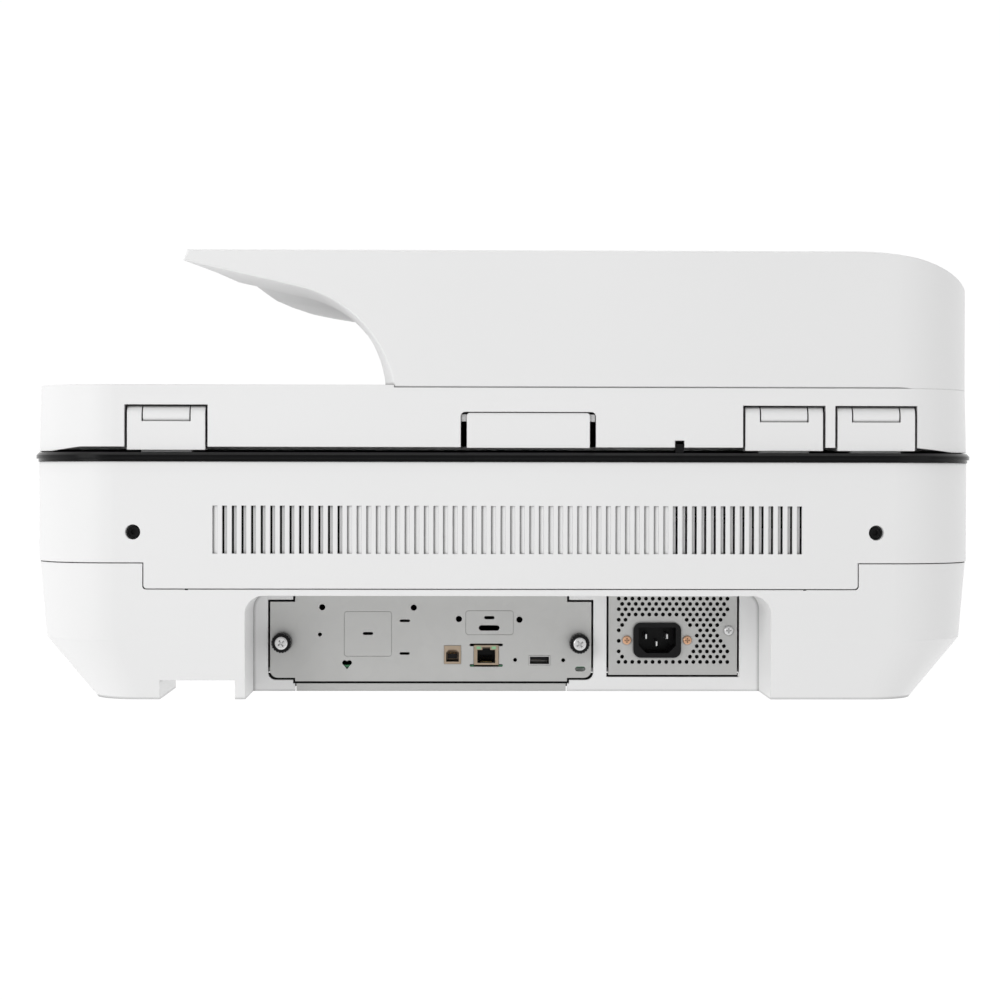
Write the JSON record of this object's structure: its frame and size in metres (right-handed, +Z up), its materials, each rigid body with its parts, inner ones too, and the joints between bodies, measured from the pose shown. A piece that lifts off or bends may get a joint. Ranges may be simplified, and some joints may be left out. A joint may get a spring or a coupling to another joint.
{
  "type": "document scanner",
  "caption": "Large flatbed document scanner with a hinged sheet-feeder lid, a rear connector recess and a tilting front panel.",
  "frame": {"origin": "centre of the overall box at the plane of the feet", "axes": "+Z up, +Y out of the rear face with the connectors, +X to the user's right as seen from the front"},
  "size_m": [0.6246, 0.6056, 0.2855],
  "materials": {
    "housing_white": "fine matt moulding",
    "feeder_white": "fine moulded grain",
    "trim_black": "gloss black",
    "platen_glass": "clear float glass",
    "zinc_steel": "satin zinc",
    "polished_steel": "ground rod",
    "copper_plate": "copper plated",
    "screw_steel": "bright plated",
    "black_plastic": "satin black",
    "board_green": "solder mask",
    "shield_tan": "tinned shield",
    "lamp_green": "light pipe",
    "roller_rubber": "ground rubber",
    "foot_rubber": "matt rubber",
    "belt_rubber": "toothed belt",
    "pad_white": "white backing",
    "screen_dark": "display window",
    "grey_plastic": "matt moulding"
  },
  "bodies": {
    "base": {"lower_housing": "housing_white", "upper_housing": "housing_white", "vent_baffle": "black_plastic", "platen_frame": "trim_black", "platen_glass": "platen_glass", "strip_glass": "platen_glass", "chassis": "zinc_steel", "carriage_rails": "polished_steel", "carriage_belt": "belt_rubber", "stepper_motor": "zinc_steel", "connector_plate": "zinc_steel", "board_channel": "zinc_steel", "circuit_board": "board_green", "usb_b_port": "shield_tan", "ethernet_port": "shield_tan", "port_lamps": "lamp_green", "usb_a_port": "zinc_steel", "thumbscrew_knobs": "black_plastic", "thumbscrew_centres": "screw_steel", "power_supply": "zinc_steel", "power_inlet": "black_plastic", "inlet_pins": "screw_steel", "inlet_screws": "copper_plate", "earth_screw": "screw_steel", "cover_screws": "black_plastic", "feet": "foot_rubber", "hinge_posts": "housing_white", "hinge_pins": "polished_steel", "sensor_flag": "black_plastic", "panel_bracket": "housing_white"},
    "carriage": {"scan_carriage": "black_plastic", "light_bar": "lamp_green"},
    "drive_pulley": {"drive_pulley": "grey_plastic"},
    "idler_pulley": {"idler_pulley": "grey_plastic"},
    "control_panel": {"control_panel": "housing_white", "display_glass": "screen_dark"},
    "power_button": {"power_button": "grey_plastic"},
    "lid": {"lid_shell": "housing_white", "lid_liner": "pad_white", "platen_pad": "pad_white", "scan_backing": "pad_white", "cable_cover": "housing_white", "hinge_knuckles": "housing_white", "feeder_housing": "feeder_white", "feeder_pins": "polished_steel", "feed_motor": "zinc_steel", "feed_belt": "belt_rubber"},
    "jam_cover": {"jam_cover": "feeder_white"},
    "input_tray": {"input_tray": "feeder_white"},
    "front_guide": {"sheet_guide_front": "feeder_white"},
    "rear_guide": {"sheet_guide_rear": "feeder_white"},
    "turn_roller": {"turn_roller": "polished_steel", "turn_tyres": "roller_rubber"},
    "feed_roller": {"feed_roller": "polished_steel", "feed_tyres": "roller_rubber"},
    "exit_roller": {"exit_roller": "polished_steel", "exit_tyres": "roller_rubber"},
    "pick_arm": {"pick_arm": "grey_plastic"},
    "pick_roller": {"pick_roller": "polished_steel", "pick_tyres": "roller_rubber"}
  },
  "joints": [
    {"name": "lid_hinge", "type": "hinge", "parent": "base", "child": "lid", "pos_m": [0, 0.2938, 0.1805], "axis": [-1, 0, 0], "range_deg": [0, 70]},
    {"name": "carriage_slide", "type": "slide", "parent": "base", "child": "carriage", "axis": [1, 0, 0], "range_m": [0, 0.43]},
    {"name": "drive_pulley_turn", "type": "hinge", "parent": "base", "child": "drive_pulley", "pos_m": [-0.266, 0.16, 0.122], "axis": [0, 1, 0], "range_deg": [0, 3090]},
    {"name": "idler_pulley_turn", "type": "hinge", "parent": "base", "child": "idler_pulley", "pos_m": [0.266, 0.16, 0.122], "axis": [0, 1, 0], "range_deg": [0, 3090]},
    {"name": "panel_tilt", "type": "hinge", "parent": "base", "child": "control_panel", "pos_m": [0, -0.22189, 0.13347], "axis": [1, 0, 0], "range_deg": [-25, 30]},
    {"name": "power_press", "type": "slide", "parent": "base", "child": "power_button", "axis": [0, 1, 0], "range_m": [0, 0.0015], "stiffness_N_per_m": 600},
    {"name": "cover_hinge", "type": "hinge", "parent": "lid", "child": "jam_cover", "pos_m": [-0.3, 0, 0.215], "axis": [0, -1, 0], "range_deg": [0, 75]},
    {"name": "tray_hinge", "type": "hinge", "parent": "lid", "child": "input_tray", "pos_m": [-0.038, 0, 0.243], "axis": [0, -1, 0], "range_deg": [0, 30]},
    {"name": "front_guide_slide", "type": "slide", "parent": "input_tray", "child": "front_guide", "axis": [0, 1, 0], "range_m": [0, 0.055]},
    {"name": "rear_guide_slide", "type": "slide", "parent": "input_tray", "child": "rear_guide", "axis": [0, -1, 0], "range_m": [0, 0.055]},
    {"name": "turn_roller_spin", "type": "hinge", "parent": "lid", "child": "turn_roller", "pos_m": [-0.235, 0, 0.226], "axis": [0, 1, 0], "continuous": true},
    {"name": "feed_roller_spin", "type": "hinge", "parent": "lid", "child": "feed_roller", "pos_m": [-0.15, 0, 0.238], "axis": [0, 1, 0], "continuous": true},
    {"name": "exit_roller_spin", "type": "hinge", "parent": "lid", "child": "exit_roller", "pos_m": [0.02, 0, 0.219], "axis": [0, 1, 0], "continuous": true},
    {"name": "pick_arm_swing", "type": "hinge", "parent": "lid", "child": "pick_arm", "pos_m": [-0.15, 0, 0.238], "axis": [0, -1, 0], "range_deg": [0, 14]},
    {"name": "pick_roller_spin", "type": "hinge", "parent": "pick_arm", "child": "pick_roller", "pos_m": [-0.085, 0, 0.246], "axis": [0, 1, 0], "continuous": true}
  ],
  "couplings": [
    {"joint": "drive_pulley_turn", "follows": "carriage_slide", "rad_per_m": 125},
    {"joint": "idler_pulley_turn", "follows": "carriage_slide", "rad_per_m": 125},
    {"joint": "rear_guide_slide", "follows": "front_guide_slide", "ratio": 1},
    {"joint": "feed_roller_spin", "follows": "turn_roller_spin", "ratio": 1}
  ]
}
